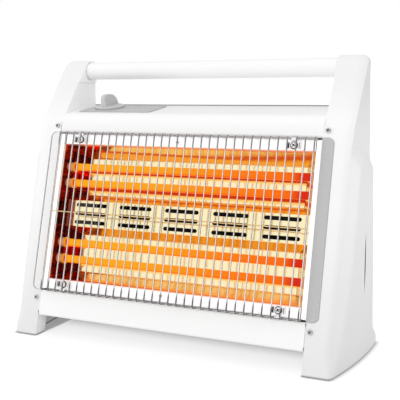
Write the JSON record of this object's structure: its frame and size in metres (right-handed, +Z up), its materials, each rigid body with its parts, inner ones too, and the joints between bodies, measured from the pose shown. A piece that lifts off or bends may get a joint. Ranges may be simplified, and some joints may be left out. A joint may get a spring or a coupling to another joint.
{
  "type": "quartz heater",
  "caption": "Portable quartz heater: glowing tubes in a polished trough reflector behind a wire guard, moulded cheeks as feet, carrying handle, rotary knob on the sloping top.",
  "frame": {"origin": "on the floor under the middle of the heater's box", "axes": "+X along the tubes towards the viewer's right, +Z up; the front and its tubes face -Y"},
  "size_m": [0.5056, 0.181, 0.396],
  "materials": {
    "white_plastic": "satin moulded plastic",
    "white_enamel": "smooth white enamel",
    "strip_grey": "satin silver-grey",
    "plate_grey": "satin grey",
    "knob_grey": "satin grey moulded plastic",
    "chrome_wire": "bright chrome",
    "mirror_steel": "polished sheet",
    "zinc_steel": "zinc plated",
    "ceramic": "unglazed",
    "quartz": "clear quartz lit from inside",
    "glowing_coil": "red-hot resistance wire",
    "black_plastic": "matte",
    "glass_sleeve": "woven glass sleeve"
  },
  "bodies": {
    "heater": {"right_cheek": "white_plastic", "left_cheek": "white_plastic", "handle_tube": "white_enamel", "top_cover": "white_enamel", "lower_fascia": "white_enamel", "back_panel": "white_enamel", "base_plate": "zinc_steel", "right_side_strip": "strip_grey", "left_side_strip": "strip_grey", "reflector": "mirror_steel", "right_reflector_end": "mirror_steel", "left_reflector_end": "mirror_steel", "wire_guard": "chrome_wire", "left_link_bar": "zinc_steel", "sleeved_leads": "glass_sleeve", "control_plate": "plate_grey", "switch_body": "black_plastic", "switch_nut": "zinc_steel", "tilt_switch": "black_plastic", "terminal_block": "ceramic", "cord_inlet_bush": "black_plastic", "upper_left_guard_clamp": "chrome_wire", "upper_left_clamp_screw": "zinc_steel", "upper_left_front_screw": "zinc_steel", "upper_left_rear_screw": "zinc_steel", "upper_right_guard_clamp": "chrome_wire", "upper_right_clamp_screw": "zinc_steel", "upper_right_front_screw": "zinc_steel", "upper_right_rear_screw": "zinc_steel", "upper_reflector_screw": "zinc_steel", "lower_left_guard_clamp": "chrome_wire", "lower_left_clamp_screw": "zinc_steel", "lower_left_front_screw": "zinc_steel", "lower_left_rear_screw": "zinc_steel", "lower_right_guard_clamp": "chrome_wire", "lower_right_clamp_screw": "zinc_steel", "lower_right_front_screw": "zinc_steel", "lower_right_rear_screw": "zinc_steel", "lower_reflector_screw": "zinc_steel", "quartz_tube_1": "quartz", "heating_coil_1": "glowing_coil", "right_tube_cap_1": "ceramic", "left_tube_cap_1": "ceramic", "quartz_tube_2": "quartz", "heating_coil_2": "glowing_coil", "right_tube_cap_2": "ceramic", "left_tube_cap_2": "ceramic", "quartz_tube_3": "quartz", "heating_coil_3": "glowing_coil", "right_tube_cap_3": "ceramic", "left_tube_cap_3": "ceramic", "quartz_tube_4": "quartz", "heating_coil_4": "glowing_coil", "right_tube_cap_4": "ceramic", "left_tube_cap_4": "ceramic"},
    "knob": {"knob": "knob_grey", "switch_shaft": "zinc_steel"}
  },
  "joints": [
    {"name": "knob_turn", "type": "hinge", "parent": "heater", "child": "knob", "pos_m": [-0.15, 0.0433, 0.32337], "axis": [0, -0.1392, 0.9903], "range_deg": [0, 180]}
  ]
}
